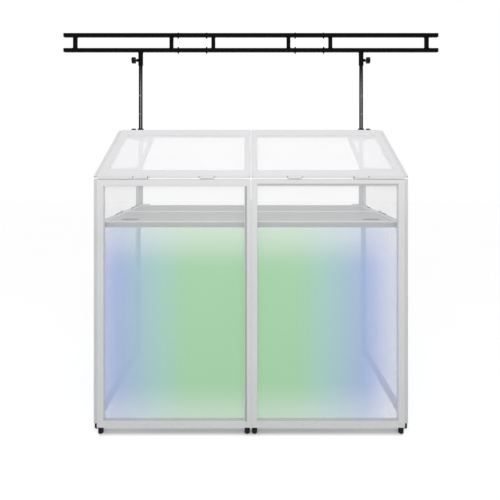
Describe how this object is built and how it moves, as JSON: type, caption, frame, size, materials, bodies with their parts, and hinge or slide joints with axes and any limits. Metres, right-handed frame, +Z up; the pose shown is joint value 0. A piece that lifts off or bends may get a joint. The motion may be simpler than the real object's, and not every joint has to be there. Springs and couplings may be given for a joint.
{
  "type": "dj booth",
  "caption": "Folding booth of white tube frames with stretched cloth, leaning upper panels, a steel table and a black lighting truss on telescoping poles.",
  "frame": {"origin": "on the floor, at the centre of the part's box", "axes": "+X to the right as the audience sees it, -Y to the audience, +Z up"},
  "size_m": [2, 0.686, 1.7115],
  "materials": {
    "white_frame": "satin white powder coat",
    "white_cloth": "stretched white knit",
    "white_hinge": "satin white paint",
    "bright_steel": "zinc plated",
    "black_rubber": "moulded matt",
    "table_paint": "fine texture pale grey",
    "black_steel": "satin black powder coat",
    "black_plastic": "moulded matt",
    "black_aluminium": "black anodised",
    "clear_lens": "clear, polished",
    "board": "white solder mask"
  },
  "bodies": {
    "booth": {"front_right_frame": "white_frame", "front_left_frame": "white_frame", "front_right_cloth": "white_cloth", "front_left_cloth": "white_cloth", "front_feet": "black_rubber", "coupling_plates": "white_hinge", "booth_bolts": "bright_steel", "front_tilt_leaves": "white_hinge", "front_tilt_pins": "bright_steel", "front_corner_leaves": "white_hinge", "corner_pins": "bright_steel", "table_front_tray": "table_paint", "table_rear_tray": "table_paint", "table_hooks": "black_steel", "table_spacers": "table_paint", "pole_brackets": "white_frame", "pole_tubes": "white_frame", "pole_collars": "black_plastic", "led_brackets": "black_steel"},
    "truss": {"inner_poles": "black_steel", "pole_sleeves": "black_steel", "truss_right": "black_steel", "truss_left": "black_steel", "truss_middle": "black_steel", "splice_bars": "black_steel", "splice_bolts": "black_steel", "truss_end_plugs": "black_plastic"},
    "led_bar": {"led_housing": "black_aluminium", "led_lens": "clear_lens", "led_board": "board", "led_end_caps": "black_plastic", "led_pivot_bolts": "bright_steel"},
    "side_right": {"side_right_frame": "white_frame", "side_right_cloth": "white_cloth", "side_right_feet": "black_rubber", "side_right_corner_leaves": "white_hinge", "side_right_tilt_leaves": "white_hinge", "side_right_tilt_pins": "bright_steel"},
    "upper_front_right": {"upper_front_right_frame": "white_frame", "upper_front_right_cloth": "white_cloth", "upper_front_right_leaves": "white_hinge"},
    "upper_side_right": {"upper_side_right_frame": "white_frame", "upper_side_right_cloth": "white_cloth", "upper_side_right_leaves": "white_hinge"},
    "upper_right_knob": {"upper_right_knob": "black_plastic"},
    "lower_right_knob": {"lower_right_knob": "black_plastic"},
    "side_left": {"side_left_frame": "white_frame", "side_left_cloth": "white_cloth", "side_left_feet": "black_rubber", "side_left_corner_leaves": "white_hinge", "side_left_tilt_leaves": "white_hinge", "side_left_tilt_pins": "bright_steel"},
    "upper_front_left": {"upper_front_left_frame": "white_frame", "upper_front_left_cloth": "white_cloth", "upper_front_left_leaves": "white_hinge"},
    "upper_side_left": {"upper_side_left_frame": "white_frame", "upper_side_left_cloth": "white_cloth", "upper_side_left_leaves": "white_hinge"},
    "upper_left_knob": {"upper_left_knob": "black_plastic"},
    "lower_left_knob": {"lower_left_knob": "black_plastic"}
  },
  "joints": [
    {"name": "side_right_swing", "type": "hinge", "parent": "booth", "child": "side_right", "pos_m": [0.585, -0.312, 0.48], "axis": [0, 0, -1], "range_deg": [0, 90]},
    {"name": "upper_front_right_fold", "type": "hinge", "parent": "booth", "child": "upper_front_right", "pos_m": [0.291, -0.339, 0.966], "axis": [1, 0, 0], "range_deg": [0, 200]},
    {"name": "upper_side_right_fold", "type": "hinge", "parent": "side_right", "child": "upper_side_right", "pos_m": [0.606, -0.001, 0.966], "axis": [0, 1, 0], "range_deg": [0, 200]},
    {"name": "upper_right_knob_turn", "type": "hinge", "parent": "truss", "child": "upper_right_knob", "pos_m": [0.59, 0.326, 1.564], "axis": [1, 0, 0], "range_deg": [-180, 180]},
    {"name": "lower_right_knob_turn", "type": "hinge", "parent": "booth", "child": "lower_right_knob", "pos_m": [0.59, 0.326, 1.182], "axis": [1, 0, 0], "range_deg": [-180, 180]},
    {"name": "side_left_swing", "type": "hinge", "parent": "booth", "child": "side_left", "pos_m": [-0.585, -0.312, 0.48], "axis": [0, 0, 1], "range_deg": [0, 90]},
    {"name": "upper_front_left_fold", "type": "hinge", "parent": "booth", "child": "upper_front_left", "pos_m": [-0.291, -0.339, 0.966], "axis": [1, 0, 0], "range_deg": [0, 200]},
    {"name": "upper_side_left_fold", "type": "hinge", "parent": "side_left", "child": "upper_side_left", "pos_m": [-0.606, -0.001, 0.966], "axis": [0, -1, 0], "range_deg": [0, 200]},
    {"name": "upper_left_knob_turn", "type": "hinge", "parent": "truss", "child": "upper_left_knob", "pos_m": [-0.59, 0.326, 1.564], "axis": [1, 0, 0], "range_deg": [-180, 180]},
    {"name": "lower_left_knob_turn", "type": "hinge", "parent": "booth", "child": "lower_left_knob", "pos_m": [-0.59, 0.326, 1.182], "axis": [1, 0, 0], "range_deg": [-180, 180]},
    {"name": "truss_lift", "type": "slide", "parent": "booth", "child": "truss", "axis": [0, 0, 1], "range_m": [-0.3, 0.35]},
    {"name": "led_tilt", "type": "hinge", "parent": "booth", "child": "led_bar", "pos_m": [0, 0.184, 0.745], "axis": [1, 0, 0], "range_deg": [-60, 60]}
  ]
}
